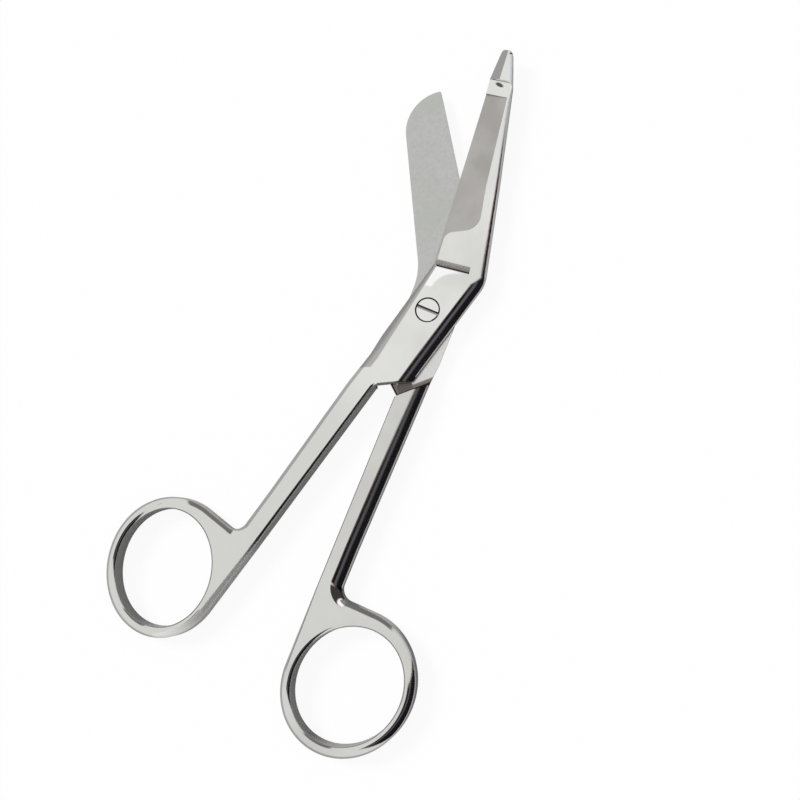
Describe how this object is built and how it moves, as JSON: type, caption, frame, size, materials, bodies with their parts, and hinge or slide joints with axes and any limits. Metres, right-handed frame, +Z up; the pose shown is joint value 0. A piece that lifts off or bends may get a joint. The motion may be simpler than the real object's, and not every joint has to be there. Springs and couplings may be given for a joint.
{
  "type": "bandage scissors",
  "caption": "Angled bandage scissors with a probe-tipped blade, a broad blunt blade, finger rings and a slotted pivot screw.",
  "frame": {"origin": "on the pivot axis, in the plane that the scissors lie on", "axes": "+Z up out of the plane they lie on, along the pivot axis; +Y along the closed scissors from the finger rings to the tips; +X to the right, seen from above"},
  "size_m": [0.0677, 0.1382, 0.0042],
  "materials": {
    "polished_steel": "mirror polished, with satin ground blade faces",
    "screw_steel": "polished"
  },
  "bodies": {
    "lower": {"blunt_half": "polished_steel", "pivot_screw": "screw_steel"},
    "upper": {"probe_half": "polished_steel"}
  },
  "joints": [
    {"name": "pivot", "type": "hinge", "parent": "lower", "child": "upper", "pos_m": [0, 0, 0.0021], "axis": [0, 0, 1], "range_deg": [-75, 14.6]}
  ]
}
